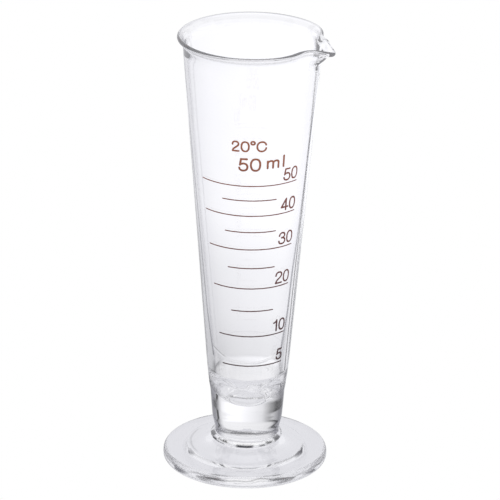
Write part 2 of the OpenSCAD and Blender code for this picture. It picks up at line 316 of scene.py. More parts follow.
def cup_rings():
    pts = cup_profile()
    R0 = np.array([p[0] for p in pts])
    Z0 = np.array([p[1] for p in pts])
    kind = np.array([{"out": 0, "rim": 1, "in": 2}[p[2]] for p in pts])
    n = len(AZ)
    RR = np.zeros((len(pts), n))
    ZZ = np.zeros((len(pts), n))
    hi = Z0 > 120
    for j, az in enumerate(AZ):
        phi = (math.degrees(az) - LIP_AZ + 180) % 360 - 180
        R, Z = R0.copy(), Z0.copy()
        fade = np.clip((Z0 - 9.6) / 1.5, 0, 1)
        R += np.where(kind == 0, ripple_out(az, Z0) * fade, 0)
        R += np.where(kind == 1, ripple_out(az, 141.1), 0)
        R += np.where(kind == 2, ripple_in(az, Z0) * np.clip(R0 / 9, 0, 1)
                      * np.clip((141.1 - Z0) / 6, 0, 1)
                      + ripple_out(az, 141.1) * np.clip(1 - (141.1 - Z0) / 6, 0, 1), 0)
        Z += np.where((kind == 2) & (Z0 < 36), 0.08 * smooth((36 - Z0) / 10)
                      * waves(az, R0, 23, (2, 3, 5, 7), 6.0) * np.clip(R0 / 6, 0, 1) ** 2, 0)
        if abs(phi) < 70:
            R[hi], Z[hi] = shaped(R[hi], Z[hi], phi).T
        else:
            pass
        RR[:, j], ZZ[:, j] = R, Z
    rings = []
    for i in range(len(pts)):
        rings.append(np.stack([CUP_X + RR[i] * np.cos(AZ), RR[i] * np.sin(AZ), ZZ[i]], 1))
    phi = (np.degrees(AZ) - LIP_AZ + 180) % 360 - 180
    # less of the bead's painted shade at the pouring lip
    calm = 1 - 0.94 * np.exp(-(phi / 38) ** 2)
    rim = np.outer([p[3] if len(p) > 3 else 0.0 for p in pts], calm)
    # painted reflections: dark arcs painted on the outside, one low down, above the joint, and one where the bore's
    # floor is mirrored
    shade = np.zeros((len(pts), n))
    for mid, half, zc, dz, amount in ((-107, 31, 13.05, 0.50, 0.75), (-91, 32, 26.1, 0.26, 0.72), (-116, 8, 26.3, 0.5, 0.6),
                                      (-68, 5, 26.5, 0.4, 0.5)):
        off = (np.degrees(AZ) - mid + 180) % 360 - 180
        arc = smooth((half - np.abs(off)) / 9)
        for i, q in enumerate(pts):
            if q[2] == "out" and q[1] < 30:
                shade[i] = np.maximum(shade[i], amount * arc * math.exp(-((q[1] - zc) / dz) ** 2))
    # painted reflections: a few small dark curls painted where the rolled glass below the cavity folds the dark of the
    # room
    for mid, half, zc, dz, amount in ((-142, 12, 25.6, 1.3, 0.42), (-60, 17, 27.6, 1.7, 0.45), (40, 20, 27.0, 1.4, 0.3), (150, 16, 27.8, 1.3, 0.3)):
        off = (np.degrees(AZ) - mid + 180) % 360 - 180
        arc = smooth((half - np.abs(off)) / 10)
        u = np.radians(off) * 12.0
        for i, q in enumerate(pts):
            if q[2] == "out" and 22 < q[1] < 31:
                v = 1.3 * np.sin(q[1] * 1.9 + u * 0.8) + u * 1.7
                curl = smooth((np.sin(v * 1.7 + 1.1 * np.sin(q[1] * 2.6 + 0.7 * u)) - 0.1) / 0.8)
                shade[i] = np.maximum(shade[i], amount * arc * curl * math.exp(-((q[1] - zc) / dz) ** 2))
    # where the painted edge shade is lighter: by the pouring lip, and on one side of the cup above the cavity
    lip = np.outer([float(smooth((p[1] - 139.5) / 3)) for p in pts], np.exp(-(phi / 34) ** 2))
    side = np.exp(-((phi - 30) / 38) ** 4) * 0.55
    soft = np.maximum(lip, np.outer([float(smooth((p[1] - 30) / 4)) for p in pts], side))
    # the very bottom of the cavity gets only the lip's light painted edge shade
    soft = np.maximum(soft, np.outer([1.0 if q[2] == "in" and q[1] < 24.5 else 0.0 for q in pts], np.ones(n)))
    # painted shade: the facing value at which a dark line is painted where the eye skims the inner wall; it is set
    # differently on the two sides, where the light comes in differently
    zl = [39.6, 55.5, 69.5, 85.0, 108.0, 133.0]
    right = smooth(1 - np.abs((np.degrees(AZ) + 30 + 180) % 360 - 180) / 95)
    line = np.full((len(pts), n), -1.0)
    for i, q in enumerate(pts):
        if q[2] == "out" and 38 < q[1] < 142:
            a, b = np.interp(q[1], zl, [0.41, 0.525, 0.55, 0.63, 0.69, 0.79]), np.interp(q[1], zl, [0.50, 0.62, 0.66, 0.70, 0.78, 0.86])
            line[i] = b + (a - b) * right
    return rings, rim, shade, soft, line


def disc(z, r, cx):
    return [np.stack([cx + r * k * np.cos(AZ), r * k * np.sin(AZ), np.full(len(AZ), z)], 1)
            for k in (0.25, 0.5, 0.75)]


# ------------------------------------------------------------------ materials
def new_material(name):
    m = bpy.data.materials.new(name)
    m.use_nodes = True
    m.node_tree.nodes.clear()
    return m, m.node_tree.nodes, m.node_tree.links


def coords(nodes, links, scale=(1, 1, 1)):
    tc = nodes.new("ShaderNodeTexCoord")
    mp = nodes.new("ShaderNodeMapping")
    mp.inputs["Scale"].default_value = scale
    links.new(tc.outputs["Object"], mp.inputs["Vector"])
    return mp.outputs["Vector"]


def noise(nodes, links, vec, scale, detail=2.0, rough=0.5):
    n = nodes.new("ShaderNodeTexNoise")
    n.inputs["Scale"].default_value = scale
    n.inputs["Detail"].default_value = detail
    n.inputs["Roughness"].default_value = rough
    links.new(vec, n.inputs["Vector"])
    return n.outputs["Fac"]


def remap(nodes, links, value, a, b, c, d):
    n = nodes.new("ShaderNodeMapRange")
    for k, v in (("From Min", a), ("From Max", b), ("To Min", c), ("To Max", d)):
        n.inputs[k].default_value = v
    links.new(value, n.inputs["Value"])
    return n.outputs["Result"]


def ramp(nodes, links, value, stops):
    n = nodes.new("ShaderNodeValToRGB")
    el = n.color_ramp.elements
    el[0].position, el[0].color = stops[0][0], (*stops[0][1], 1)
    el[1].position, el[1].color = stops[-1][0], (*stops[-1][1], 1)
    for p, c in stops[1:-1]:
        e = el.new(p)
        e.color = (*c, 1)
    links.new(value, n.inputs["Fac"])
    return n.outputs["Color"]


def mix_colour(nodes, links, fac, a, b, mode="MIX"):
    n = nodes.new("ShaderNodeMix")
    n.data_type, n.blend_type = "RGBA", mode
    ins = [i for i in n.inputs if i.enabled or True]
    f = n.inputs[0]
    ca, cb = n.inputs[6], n.inputs[7]
    for sock, v in ((f, fac), (ca, a), (cb, b)):
        if hasattr(v, "is_linked"):
            links.new(v, sock)
        elif isinstance(v, (int, float)):
            sock.default_value = v
        else:
            sock.default_value = (*v, 1)
    return n.outputs[2]


DEEP_RAY_GLOW = 0.035


def glass_material(name, clear, edge, seeds, bump=0.02, ior=1.50, base=None, bead=None, shade=False, rough=0.006):
    """Clear soda glass: faintly tinted, with shade painted into its colour where it is seen edge on, and smudged gloss.
    """
    m, nodes, links = new_material(name)
    out = nodes.new("ShaderNodeOutputMaterial")
    b = nodes.new("ShaderNodeBsdfPrincipled")
    b.inputs["Transmission Weight"].default_value = 1.0
    b.inputs["IOR"].default_value = ior
    links.new(b.outputs["BSDF"], out.inputs["Surface"])
    vec = coords(nodes, links, (1000, 1000, 1000))
    tint = noise(nodes, links, vec, 0.09 + seeds * 0.01, 2.0)
    lw = nodes.new("ShaderNodeLayerWeight")
    lw.inputs["Blend"].default_value = 0.5
    body = ramp(nodes, links, tint, [(0.3, clear), (0.7, tuple(min(1, c * 1.012) for c in clear))])
    rim = ramp(nodes, links, lw.outputs["Facing"], edge)
    if base is not None:        # painted shade: the solid base is painted darker towards its sides, sooner than the thin wall
        solid = ramp(nodes, links, lw.outputs["Facing"], base)
        sep = nodes.new("ShaderNodeSeparateXYZ")
        links.new(vec, sep.inputs[0])
        low = remap(nodes, links, sep.outputs["Z"], 26.4, 28.8, 1.0, 0.0)
        rim = mix_colour(nodes, links, low, rim, solid)
    if bead is not None:        # and the thick bead round the mouth gets painted edge shade of its own
        at = nodes.new("ShaderNodeAttribute")
        at.attribute_name = "bead"
        rim = mix_colour(nodes, links, at.outputs["Fac"], rim, ramp(nodes, links, lw.outputs["Facing"], bead))
        at = nodes.new("ShaderNodeAttribute")       # the lip is thin, and gets less painted shade
        at.attribute_name = "soft"
        thin = ramp(nodes, links, lw.outputs["Facing"], LIP_EDGE)
        rim = mix_colour(nodes, links, at.outputs["Fac"], rim, thin)
        at = nodes.new("ShaderNodeAttribute")       # a dark line painted where the eye skims the inner wall
        at.attribute_name = "line"
        gap = nodes.new("ShaderNodeMath")
        gap.operation = "SUBTRACT"
        links.new(lw.outputs["Facing"], gap.inputs[0])
        links.new(at.outputs["Fac"], gap.inputs[1])
        skim = ramp(nodes, links, remap(nodes, links, gap.outputs[0], -0.07, 0.07, 0.0, 1.0), INNER_LINE)
        rim = mix_colour(nodes, links, 1.0, rim, skim, "MULTIPLY")
    col = mix_colour(nodes, links, 1.0, body, rim, "MULTIPLY")
    if shade:                   # painted dark reflections, laid on by the shade attribute
        at = nodes.new("ShaderNodeAttribute")
        at.attribute_name = "shade"
        col = mix_colour(nodes, links, at.outputs["Fac"], col, (0.004, 0.004, 0.006))
    links.new(col, b.inputs["Base Color"])
    smear = noise(nodes, links, vec, 0.35, 3.0, 0.6)
    links.new(remap(nodes, links, smear, 0.50, 0.80, 0.0 if rough < 0.1 else 0.7 * rough, rough), b.inputs["Roughness"])
    # painted light: the glass glows a faint grey on rays that have run on and on inside the wall, so that light isn't
    # simply lost
    lp = nodes.new("ShaderNodeLightPath")
    b.inputs["Emission Color"].default_value = (0.95, 0.95, 1.0, 1.0)
    links.new(remap(nodes, links, lp.outputs["Ray Depth"], 7.0, 9.0, 0.0, DEEP_RAY_GLOW), b.inputs["Emission Strength"])
    bp = nodes.new("ShaderNodeBump")
    bp.inputs["Strength"].default_value = bump
    bp.inputs["Distance"].default_value = 0.0004
    links.new(noise(nodes, links, vec, 0.22, 1.5, 0.4), bp.inputs["Height"])
    links.new(bp.outputs["Normal"], b.inputs["Normal"])
    return m


def joint_material():
    """The fused faces inside: glass to glass, so nothing is seen there."""
    m, nodes, links = new_material("fused_joint")
    out = nodes.new("ShaderNodeOutputMaterial")
    t = nodes.new("ShaderNodeBsdfTransparent")
    links.new(t.outputs["BSDF"], out.inputs["Surface"])
    return m


def enamel_material():
    """Fired red-brown enamel: glossy, slightly grainy, and denser in some places than in others."""
    m, nodes, links = new_material("fired_enamel")
    out = nodes.new("ShaderNodeOutputMaterial")
    b = nodes.new("ShaderNodeBsdfPrincipled")
    b.inputs["IOR"].default_value = 1.52
    b.inputs["Coat Weight"].default_value = 0.25
    b.inputs["Coat Roughness"].default_value = 0.15
    links.new(b.outputs["BSDF"], out.inputs["Surface"])
    vec = coords(nodes, links, (1000, 1000, 1000))
    grain = noise(nodes, links, vec, 2.6, 4.0, 0.65)
    cloud = noise(nodes, links, vec, 0.12, 2.0, 0.5)
    sep = nodes.new("ShaderNodeSeparateXYZ")
    links.new(vec, sep.inputs[0])
    # painted shade: darker towards the foot, where less light reaches the enamel
    col = ramp(nodes, links, remap(nodes, links, sep.outputs["Z"], 30, 120, 0.0, 1.0),
               [(0.05, (0.050, 0.015, 0.015)), (0.22, (0.084, 0.024, 0.025)), (0.45, (0.160, 0.038, 0.032)),
                (0.70, (0.225, 0.052, 0.028)), (0.84, (0.285, 0.070, 0.034)), (0.90, (0.430, 0.135, 0.058))])
    speck = ramp(nodes, links, grain, [(0.30, (0.80, 0.78, 0.78)), (0.55, (1.0, 1.0, 1.0)), (0.80, (1.22, 1.3, 1.35))])
    dens = ramp(nodes, links, cloud, [(0.3, (0.90, 0.86, 0.84)), (0.7, (1.0, 1.0, 1.0))])
    col = mix_colour(nodes, links, 1.0, col, speck, "MULTIPLY")
    col = mix_colour(nodes, links, 1.0, col, dens, "MULTIPLY")
    links.new(col, b.inputs["Base Color"])
    links.new(remap(nodes, links, grain, 0.3, 0.8, 0.28, 0.5), b.inputs["Roughness"])
    bp = nodes.new("ShaderNodeBump")
    bp.inputs["Strength"].default_value = 0.25
    bp.inputs["Distance"].default_value = 0.00002
    links.new(grain, bp.inputs["Height"])
    links.new(bp.outputs["Normal"], b.inputs["Normal"])
    return m


def grey(v, warm=0.0):
    return (v, v, min(1, v + 0.02))


# painted shade: how the glass colour darkens where it is seen edge on, by Layer Weight facing
LIP_EDGE = [(0.0, grey(1)), (0.80, grey(1)), (0.92, grey(0.92)), (1.0, grey(0.80))]
WALL_EDGE = [(0.0, grey(1)), (0.30, grey(1)), (0.50, grey(0.94)), (0.68, grey(0.86)), (0.78, grey(0.72)), (0.88, grey(0.54)),
             (1.0, grey(0.36))]
INNER_LINE = [(0.0, grey(1)), (0.24, grey(1)), (0.42, grey(0.34)), (0.50, grey(0.16)), (0.58, grey(0.34)), (0.76, grey(1)),
              (1.0, grey(1))]
SOLID_EDGE = [(0.0, grey(1)), (0.38, grey(1)), (0.50, grey(0.45)), (0.62, grey(0.12)), (0.80, grey(0.06)), (1.0, grey(0.10))]
FOOT_EDGE = [(0.0, grey(1)), (0.70, grey(1)), (0.88, grey(0.80)), (1.0, grey(0.50))]
BORE_EDGE = [(0.0, grey(1)), (0.70, grey(1)), (0.82, grey(0.70)), (0.92, grey(0.30)), (1.0, grey(0.12))]
BEAD_EDGE = [(0.0, grey(1)), (0.05, grey(1)), (0.14, grey(0.62)), (0.35, grey(0.36)), (1.0, grey(0.22))]
CUP_GLASS = glass_material("clear_cup_glass", (0.988, 0.988, 0.994), WALL_EDGE, 1, bump=0.006, base=SOLID_EDGE,
                           bead=BEAD_EDGE, shade=True)
CUP_INSIDE = glass_material("clear_cup_glass_inside", (0.988, 0.988, 0.994), BORE_EDGE, 1, bump=0.006, bead=BEAD_EDGE)
BUTTON_GLASS = glass_material("clear_button_glass", (0.98, 0.98, 0.99), WALL_EDGE, 2, shade=True)
FOOT_GLASS = glass_material("clear_foot_glass", (0.965, 0.965, 0.982), FOOT_EDGE, 3, shade=True)
FOOT_UNDER = glass_material("pressed_foot_underside", (0.965, 0.965, 0.982), FOOT_EDGE, 4, rough=0.13)
JOINT = joint_material()
ENAMEL = enamel_material()

# ------------------------------------------------------------------ build the glass
rings, ring_bead_shade, ring_shade, ring_soft, ring_line = cup_rings()
low_disc = disc(STEM_Z, STEM_R, CUP_X)
# the first ring of the wall is the joint's outline
rows = [np.array([CUP_X, 0, STEM_Z])] + low_disc + rings + [np.array([CUP_X, 0, CAVITY_Z])]
peak = int(np.argmax([r[:, 2].mean() for r in rings]))
row_mats = [1] * 4 + [0 if i < peak else 2 for i in range(len(rings))]
cup = revolve("glass_cup_visual", rows, [CUP_GLASS, JOINT, CUP_INSIDE], row_mats, sharp_rows=(4,))
for name, values in (("bead", ring_bead_shade), ("shade", ring_shade), ("soft", ring_soft), ("line", ring_line)):
    ends = -1.0 if name == "line" else 0.0
    per_vertex = np.concatenate([np.full(1 + 3 * len(AZ), ends), values.ravel(), [ends]])
    cup.data.attributes.new(name, "FLOAT", "POINT").data.foreach_set("value", per_vertex)
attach(cup, "root")
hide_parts("glass_cup")


def button_axis(z):
    return 0.2 + (CUP_X - 0.2) * smooth((z - BOSS_Z) / (STEM_Z - BOSS_Z))


def button_ring(t):
    """Ring of the squeezed-out glass at t = 0 on the foot to 1 under the cup: a rolled, wavy collar."""
    ts = [0, 0.10, 0.20, 0.36, 0.50, 0.64, 0.78, 0.90, 1.0]
    pr = hermite(ts, [BOSS_R, 10.70, 10.92, 11.46, 11.80, 11.72, 11.28, 10.74, STEM_R], t)
    pz = hermite(ts, [BOSS_Z, 7.06, 7.30, 7.58, 8.02, 8.46, 8.86, 9.20, STEM_Z], t)
    w = math.sin(math.pi * min(1.0, t / 0.9)) ** 0.8 if t < 0.9 else 0.0
    r = pr + 0.20 * w * waves(AZ, 0.0, 31, (2, 3, 5, 7, 9), 5.0) + 0.06 * w * waves(AZ, pz, 32, (11, 13, 17), 3.0)
    r = np.minimum(r, 12.1)
    z = pz + 0.20 * w * (1 - t) * (0.5 + waves(AZ, 1.0, 33, (2, 4, 5, 8, 11), 5.0))
    cx = button_axis(pz)
    return np.stack([cx + r * np.cos(AZ), r * np.sin(AZ), np.broadcast_to(z, AZ.shape)], 1)


foot_join = button_ring(0.0)
foot_join[:, 2] = BOSS_Z
b_rings = [button_ring(float(t)) for t in np.linspace(0, 1, 44)]
b_rings[0] = foot_join
top = np.stack([CUP_X + STEM_R * np.cos(AZ), STEM_R * np.sin(AZ), np.full(len(AZ), STEM_Z)], 1)
b_rings[-1] = top


def inset(ring, z, cx, ks):
    c = np.array([cx, 0, z])
    return [c + (ring - c) * k for k in ks]


rows = ([np.array([0.2, 0, BOSS_Z])] + inset(foot_join, BOSS_Z, 0.2, (0.25, 0.5, 0.75)) + b_rings
        + inset(top, STEM_Z, CUP_X, (0.75, 0.5, 0.25)) + [np.array([CUP_X, 0, STEM_Z])])
nb = len(b_rings)
row_mats = [1] * 4 + [0] * (nb - 1) + [1] * 4
button = revolve("fused_button_visual", rows, [BUTTON_GLASS, JOINT], row_mats, sharp_rows=(4, 4 + nb - 1))
# painted reflections: dark patches painted where the rolled glass throws the dark of the room back: (azimuth from, to,
# height, half height, strength)
PAINTED_REFLECTIONS = [(-180, -158, 8.75, 0.60, 0.95), (-162, -146, 8.15, 0.55, 1.0), (-150, -128, 7.85, 0.42, 0.95), (-143, -122, 8.75, 0.20, 0.85),
        (-107, -78, 8.20, 0.62, 1.0), (-69, -57, 8.15, 0.45, 0.9), (-56, -43, 8.55, 0.42, 0.95), (-38, -18, 8.7, 0.75, 0.97),
        (-12, 6, 8.1, 0.45, 0.7), (14, 38, 8.3, 0.50, 0.85), (52, 70, 8.0, 0.40, 0.8), (74, 112, 8.4, 0.45, 0.85),
        (124, 139, 8.1, 0.50, 0.8), (150, 172, 8.4, 0.45, 0.85)]
shade = np.zeros(len(button.data.vertices))
for k, v in enumerate(button.data.vertices):
    x, y, z = (c / MM for c in v.co)
    a = math.degrees(math.atan2(y, x - button_axis(z)))
    for a0, a1, zc, dz, amount in PAINTED_REFLECTIONS:
        if a0 - 4 < a < a1 + 4 and z > BOSS_Z + 0.2 and z < STEM_Z - 0.05:
            side = float(smooth((a - a0 + 3) / 6) * smooth((a1 + 3 - a) / 6))
            shade[k] = max(shade[k], amount * side * math.exp(-((z - zc) / dz) ** 4))
button.data.attributes.new("shade", "FLOAT", "POINT").data.foreach_set("value", shade)
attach(button, "root")
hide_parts("fused_button")


def foot_rings():
    prof = [(26.0, 0.0)]
    for a in np.linspace(-75, 0, 7)[1:]:
        a = math.radians(a)
        prof.append((25.95 + 1.2 * math.cos(a), 1.35 + 1.35 * math.sin(a)))
    prof.append((27.15, 1.75))
    for a in np.linspace(0, 82, 12)[1:]:
        a = math.radians(a)
        prof.append((25.45 + 1.7 * math.cos(a), 2.0 + 1.85 * math.sin(a)))
    zs = hermite([19.5 + 2.1, 23.5, 25.4], [3.92, 3.93, 3.86], np.linspace(25.4, 21.7, 8))
    prof += [(r, float(z)) for r, z in zip(np.linspace(25.4, 21.7, 8), zs)]
    step = [(21.2, 3.89), (20.8, 3.94), (20.4, 4.04), (20.05, 4.16), (19.75, 4.29), (19.48, 4.43),
            (19.15, 4.61), (18.75, 4.80)]
    prof += step
    dr = np.linspace(18.3, BOSS_R, 22)[:-1]
    dome = hermite([BOSS_R, 11.5, 12.25, 13.0, 13.9, 15.0, 16.1, 17.2, 18.8],
                   [BOSS_Z, 6.66, 6.43, 6.16, 5.86, 5.52, 5.22, 5.0, 4.87], dr, ends=(-0.1, -0.02))
    prof += [(float(r), float(z)) for r, z in zip(dr, dome)]
    rings = []
    for r, z in prof:
        out = smooth((r - 20.5) / 4)
        dr = 0.07 * out * waves(AZ, 0.3, 41, (2, 3, 4, 6), 9.0) + 0.035 * out * waves(AZ, z, 42, (5, 9, 12), 3.5)
        dz = 0.0 if z <= 0 else 0.05 * smooth(z / 2) * waves(AZ, r, 43, (2, 3, 5), 9.0)
        if r < 19:
            dz = 0.03 * smooth((r - BOSS_R) / 2) * waves(AZ, r, 45, (2, 3, 4, 6), 5.0)
        st = 0.10 * np.exp(-((r - 19.6) / 0.7) ** 2) * waves(AZ, 0.0, 44, (2, 3, 4), 9.0)
        rr = np.minimum(r + dr + st, 27.3)
        cx = 0.2 * smooth((18 - r) / 7)
        rings.append(np.stack([cx + rr * np.cos(AZ), rr * np.sin(AZ), np.broadcast_to(z + dz, AZ.shape)], 1))
    return rings


f_rings = foot_rings() + [foot_join]
DISH_R, DISH_Z = 17.5, 2.75      # the underside is hollow and stands on the flat ring outside it
under = []
for r in list(np.linspace(1.5, DISH_R, 30)) + [18.3, 20.0, 21.5, 23.0, 24.5]:
    z = float(hermite([0, 3, 5, 6.5, 8, 10, 12, 13, 14, 15, 16, DISH_R, 30],
                      [DISH_Z, 2.71, 2.54, 2.28, 1.92, 1.38, 0.86, 0.62, 0.40, 0.22, 0.10, 0, 0],
                      r, ends=(0.0, 0.0)))
    under.append(np.stack([r * np.cos(AZ), r * np.sin(AZ), np.full(len(AZ), z)], 1))
rows = ([np.array([0, 0, DISH_Z])] + under + f_rings
        + inset(foot_join, BOSS_Z, 0.2, (0.75, 0.5, 0.25)) + [np.array([0.2, 0, BOSS_Z])])
ring_of_join = 1 + len(under) + len(f_rings) - 1
row_mats = [0] * 31 + [2] * 7 + [0] * (ring_of_join - 38) + [1] * 4
foot = revolve("foot_disc_visual", rows, [FOOT_GLASS, JOINT, FOOT_UNDER], row_mats, sharp_rows=(ring_of_join,))
# painted shade: dark lines painted along the step, and wavy ones round the fire-polished edge, standing in for
# reflections
shade = np.zeros(len(foot.data.vertices))
for k, v in enumerate(foot.data.vertices):
    x, y, z = (c / MM for c in v.co)
    if z < 1.2:
        continue
    r, a = math.hypot(x, y), math.degrees(math.atan2(y, x))
    for a0, a1, rc, dr, amount in ((-62, -2, 19.30, 0.26, 0.80), (-108, -70, 19.75, 0.16, 0.45), (-150, -118, 19.3, 0.24, 0.45),
                                   (-182, -146, 19.5, 0.28, 0.40), (-184, -152, 18.0, 0.30, 0.50), (150, 184, 18.1, 0.35, 0.45), (100, 148, 19.4, 0.25, 0.25),
                                   (20, 95, 19.5, 0.25, 0.35), (-40, -14, 21.3, 0.25, 0.25)):
        side = float(smooth((a - a0 + 6) / 12) * smooth((a1 + 6 - a) / 12))
        shade[k] = max(shade[k], amount * side * math.exp(-((r - rc) / dr) ** 2))
    if r > 26:
        swing = 0.28 * math.sin(math.radians(a) * 9 + 1) + 0.16 * math.sin(math.radians(a) * 23 + 2)
        for a0, a1, zc, dz, amount in ((-134, -62, 3.05, 0.17, 0.80), (-118, -72, 2.35, 0.14, 0.50), (-60, -12, 2.55, 0.20, 0.70), (-176, -138, 2.75, 0.18, 0.55),
                                       (-20, 40, 2.2, 0.3, 0.3), (60, 170, 2.7, 0.25, 0.4)):
            side = float(smooth((a - a0 + 5) / 10) * smooth((a1 + 5 - a) / 10))
            shade[k] = max(shade[k], amount * side * math.exp(-((z - zc - swing) / dz) ** 2))
foot.data.attributes.new("shade", "FLOAT", "POINT").data.foreach_set("value", shade)
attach(foot, "root")
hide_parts("foot_disc")


# ------------------------------------------------------------------ the print
def volume_lines():
    """Heights of the ten lines: the cavity's volume below each is a multiple of 5 ml."""
    z = np.linspace(CAVITY_Z, 125, 20001)
    v = np.concatenate([[0], np.cumsum(np.pi * bore((z[1:] + z[:-1]) / 2) ** 2 * np.diff(z))])
    return {5 * i: float(np.interp(5000.0 * i, v, z)) for i in range(1, 11)}


LINES = volume_lines()


def mid_az(z):
    return PRINT_AZ + PRINT_LEAN * (LINES[50] - z)


def half_arc(ml):
    dz = LINES[50] - LINES[ml]
    return 17.4 - dz * 0.104 if ml % 10 == 0 or ml == 5 else 9.4 - dz * 0.051


def deg(arc, z):
    return math.degrees(arc / cone(z))


def on_cup(az_deg, z, h):
    """A point h above the cup's outer surface."""
    az = np.radians(az_deg)
    R = cone(z) + ripple_out(az, z) + h
    return np.stack([CUP_X + R * np.cos(az), R * np.sin(az), np.broadcast_to(z, R.shape)], -1)


RISE, SINK = 0.06, 0.015


def print_line(name, ml, seed):
    """One graduation line: a low, rounded ribbon of enamel with slightly uneven edges."""
    z0, half = LINES[ml], half_arc(ml)
    n = max(60, int(half * 2 / 0.25))
    x = np.linspace(-half, half, n)
    rng = np.random.default_rng(seed)
    w = 0.5 * (0.42 - 0.0009 * (z0 - 38)) * (1 + 0.07 * np.interp(x, np.linspace(-half, half, 40), rng.uniform(-1, 1, 40)))
    # rounded ends
    e = np.clip((half - np.abs(x)) / 0.17, 0, 1)
    w *= np.sqrt(np.clip(1 - (1 - e) ** 2, 0.04, 1))
    sway = 0.02 * np.interp(x, np.linspace(-half, half, 25), rng.uniform(-1, 1, 25))
    az = mid_az(z0) + np.degrees(x / cone(z0))
    cross = np.array([-1, -0.92, -0.72, -0.4, 0, 0.4, 0.72, 0.92, 1])
    dome = 0.012 + RISE * np.sqrt(np.clip(1 - cross ** 2, 0, 1)) ** 0.8
    verts, m = [], len(cross)
    for i in range(n):
        z = z0 + sway[i] + cross * w[i]
        verts.append(on_cup(np.full(m, az[i]), z, dome * (0.6 + 0.4 * e[i])))
        verts.append(on_cup(np.full(m, az[i]), z, np.full(m, -SINK)))
    verts = np.concatenate(verts)
    T = lambda i, j: i * 2 * m + j
    B = lambda i, j: i * 2 * m + m + j
    faces = []
    for i in range(n - 1):
        for j in range(m - 1):
            faces.append((T(i, j), T(i + 1, j), T(i + 1, j + 1), T(i, j + 1)))
            faces.append((B(i, j), B(i, j + 1), B(i + 1, j + 1), B(i + 1, j)))
        faces.append((T(i, 0), B(i, 0), B(i + 1, 0), T(i + 1, 0)))
        faces.append((T(i, m - 1), T(i + 1, m - 1), B(i + 1, m - 1), B(i, m - 1)))
    for j in range(m - 1):
        faces.append((T(0, j), T(0, j + 1), B(0, j + 1), B(0, j)))
        faces.append((T(n - 1, j), B(n - 1, j), B(n - 1, j + 1), T(n - 1, j + 1)))
    return add_enamel(name, verts, faces)


def add_enamel(name, verts, faces):
    ob = make_object(name + "_visual", verts, faces, [ENAMEL])
    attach(ob, "root")
    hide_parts(name)
    return ob


def arc_pts(cx, cy, rx, ry, a0, a1, n=28):
    a = np.radians(np.linspace(a0, a1, n))
    return np.stack([cx + rx * np.cos(a), cy + ry * np.sin(a)], 1)


def bez(p0, p1, p2, p3, n=16):
    t = np.linspace(0, 1, n)[:, None]
    p0, p1, p2, p3 = (np.array(p, float) for p in (p0, p1, p2, p3))
    return (1 - t) ** 3 * p0 + 3 * (1 - t) ** 2 * t * p1 + 3 * (1 - t) * t * t * p2 + t ** 3 * p3


def join(*parts):
    return np.concatenate([np.asarray(p, float).reshape(-1, 2) for p in parts])


# Plain sans-serif strokes for a cap height of 1, drawn for this model: (path, closed) lists.
S = 0.1


def glyph(c):
    g = S / 2
    if c == "0":
        t = np.linspace(0, 2 * np.pi, 60)
        x = np.sign(np.cos(t)) * np.abs(np.cos(t)) ** 0.86
        y = np.sign(np.sin(t)) * np.abs(np.sin(t)) ** 0.86
        return [np.stack([0.30 + 0.245 * x, 0.5 + (0.5 - g) * y], 1)], 0.60
    if c == "1":
        return [[(0.33, g), (0.33, 1 - g)], bez((0.10, 0.74), (0.22, 0.76), (0.31, 0.84), (0.33, 0.95))], 0.46
    if c == "2":
        return [join(bez((0.075, 0.68), (0.07, 0.86), (0.17, 0.955), (0.315, 0.952)),
                     bez((0.315, 0.952), (0.46, 0.95), (0.545, 0.86), (0.545, 0.74)),
                     bez((0.545, 0.74), (0.545, 0.62), (0.47, 0.54), (0.34, 0.43)),
                     bez((0.34, 0.43), (0.18, 0.30), (0.09, 0.20), (0.075, g)),
                     [(0.56, g)])], 0.62
    if c == "3":
        return [join(bez((0.08, 0.71), (0.10, 0.87), (0.18, 0.953), (0.31, 0.953)),
                     bez((0.31, 0.953), (0.44, 0.953), (0.52, 0.87), (0.52, 0.76)),
                     bez((0.52, 0.76), (0.52, 0.63), (0.43, 0.545), (0.27, 0.545))),
                join(bez((0.27, 0.545), (0.45, 0.545), (0.555, 0.44), (0.555, 0.30)),
                     bez((0.555, 0.30), (0.555, 0.14), (0.45, 0.047), (0.305, 0.047)),
                     bez((0.305, 0.047), (0.16, 0.047), (0.07, 0.13), (0.058, 0.29)))], 0.62
    if c == "4":
        return [[(0.425, g), (0.425, 1 - g), (0.06, 0.285), (0.585, 0.285)]], 0.64
    if c == "5":
        return [join([(0.52, 1 - g), (0.17, 1 - g), (0.105, 0.50)],
                     bez((0.105, 0.50), (0.17, 0.575), (0.24, 0.605), (0.32, 0.605)),
                     bez((0.32, 0.605), (0.46, 0.605), (0.555, 0.50), (0.555, 0.335)),
                     bez((0.555, 0.335), (0.555, 0.155), (0.45, 0.047), (0.30, 0.047)),
                     bez((0.30, 0.047), (0.16, 0.047), (0.075, 0.13), (0.06, 0.27)))], 0.62
    if c == "C":
        return [join(bez((0.735, 0.68), (0.70, 0.86), (0.58, 0.953), (0.42, 0.953)),
                     bez((0.42, 0.953), (0.20, 0.953), (0.062, 0.79), (0.062, 0.505)),
                     bez((0.062, 0.505), (0.062, 0.22), (0.20, 0.047), (0.415, 0.047)),
                     bez((0.415, 0.047), (0.60, 0.047), (0.72, 0.16), (0.75, 0.36)))], 0.80
    if c == "o":
        return [arc_pts(0.17, 0.86, 0.145, 0.145, 0, 360, 40)], 0.34
    if c == "m":
        return [[(0.06, g), (0.06, 0.72)],
                join(bez((0.06, 0.50), (0.07, 0.66), (0.15, 0.735), (0.26, 0.735)),
                     bez((0.26, 0.735), (0.37, 0.735), (0.42, 0.67), (0.42, 0.55)), [(0.42, g)]),
                join(bez((0.42, 0.50), (0.43, 0.66), (0.51, 0.735), (0.62, 0.735)),
                     bez((0.62, 0.735), (0.73, 0.735), (0.78, 0.67), (0.78, 0.55)), [(0.78, g)])], 0.84
    if c == "l":
        return [[(0.06, g), (0.06, 1 - g)]], 0.12
    return [], 0.3


